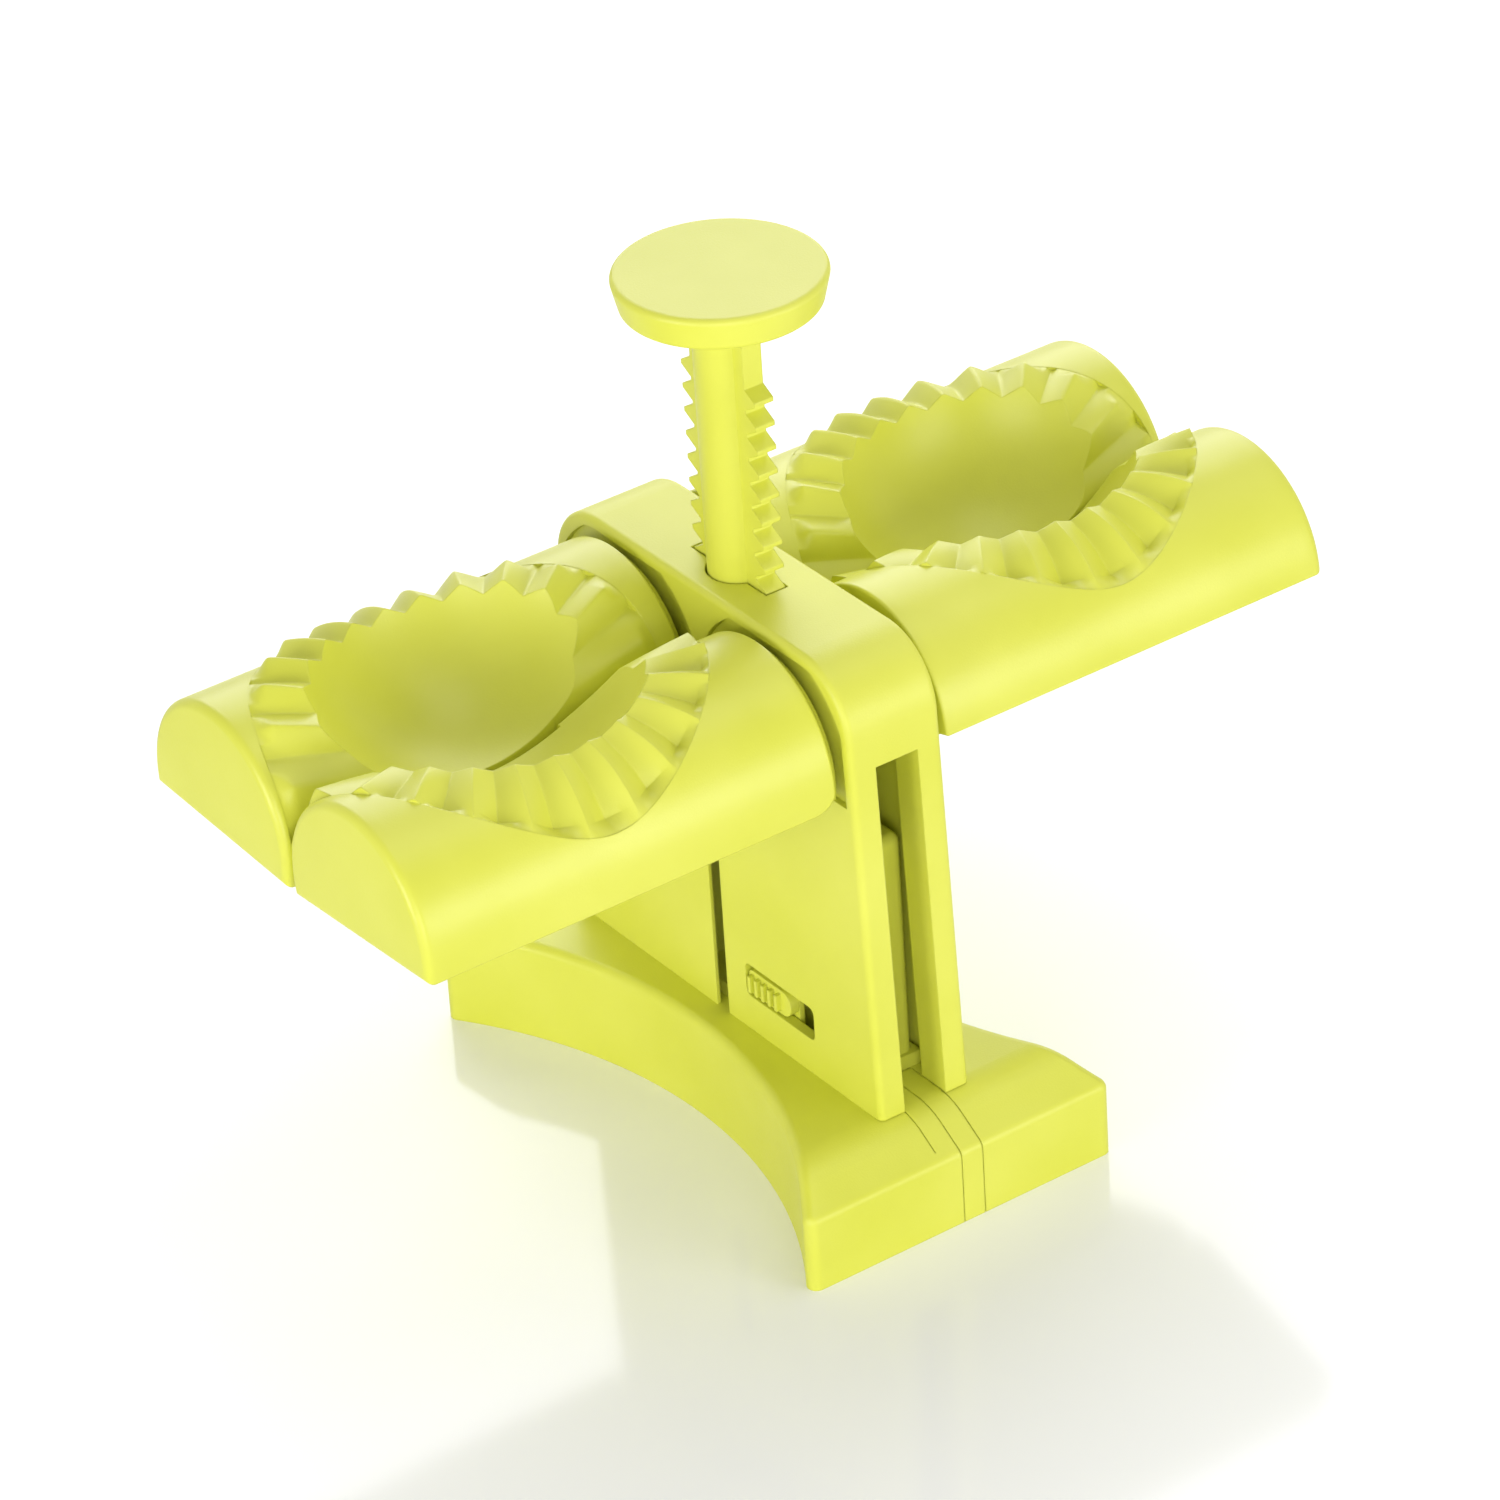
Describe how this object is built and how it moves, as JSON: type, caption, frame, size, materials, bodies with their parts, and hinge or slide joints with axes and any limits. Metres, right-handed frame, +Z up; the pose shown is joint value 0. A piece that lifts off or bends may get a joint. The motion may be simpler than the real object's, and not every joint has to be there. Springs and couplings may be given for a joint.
{
  "type": "dumpling maker",
  "caption": "Hand-pressed dumpling maker: a plunger with a double rack turns pairs of pleated half-round moulds together to fold and seal a filled wrapper.",
  "frame": {"origin": "on the floor under the middle of the base", "axes": "+X along the mould axles, +Y across them, +Z up"},
  "size_m": [0.205, 0.1226, 0.1785],
  "materials": {
    "lime_plastic": "satin moulded plastic",
    "bright_steel": "bright zinc-plated steel"
  },
  "bodies": {
    "stand": {"base_shell": "lime_plastic", "front_end_strip": "lime_plastic", "rear_end_strip": "lime_plastic", "floor_plate": "lime_plastic", "floor_plate_screws": "bright_steel", "tower_housing": "lime_plastic", "tower_screws": "bright_steel", "inner_upright": "lime_plastic", "upright_screws": "bright_steel", "spring_guide_pin": "bright_steel", "return_spring": "bright_steel"},
    "plunger": {"rack_rod": "lime_plastic", "press_button": "lime_plastic"},
    "lock": {"lock_slide": "lime_plastic", "lock_keeper": "lime_plastic"},
    "front_rotor": {"front_pinion": "lime_plastic", "front_left_mould": "lime_plastic", "front_right_mould": "lime_plastic", "front_left_mould_cover": "lime_plastic", "front_right_mould_cover": "lime_plastic", "front_tie_bolt": "bright_steel", "front_tie_nut": "bright_steel"},
    "rear_rotor": {"rear_pinion": "lime_plastic", "rear_left_mould": "lime_plastic", "rear_right_mould": "lime_plastic", "rear_left_mould_cover": "lime_plastic", "rear_right_mould_cover": "lime_plastic", "rear_tie_bolt": "bright_steel", "rear_tie_nut": "bright_steel"}
  },
  "joints": [
    {"name": "press", "type": "slide", "parent": "stand", "child": "plunger", "axis": [0, 0, -1], "range_m": [0, 0.04], "stiffness_N_per_m": 250, "springref_m": -0.02, "deforming": ["return_spring"]},
    {"name": "front_turn", "type": "hinge", "parent": "stand", "child": "front_rotor", "pos_m": [0, -0.023, 0.0929], "axis": [-1, 0, 0], "range_deg": [0, 180.5]},
    {"name": "rear_turn", "type": "hinge", "parent": "stand", "child": "rear_rotor", "pos_m": [0, 0.023, 0.0929], "axis": [1, 0, 0], "range_deg": [0, 180.5]},
    {"name": "lock_shift", "type": "slide", "parent": "stand", "child": "lock", "axis": [0, -1, 0], "range_m": [0, 0.0078]}
  ],
  "couplings": [
    {"joint": "front_turn", "follows": "press", "rad_per_m": 78.54},
    {"joint": "rear_turn", "follows": "press", "rad_per_m": 78.54}
  ]
}
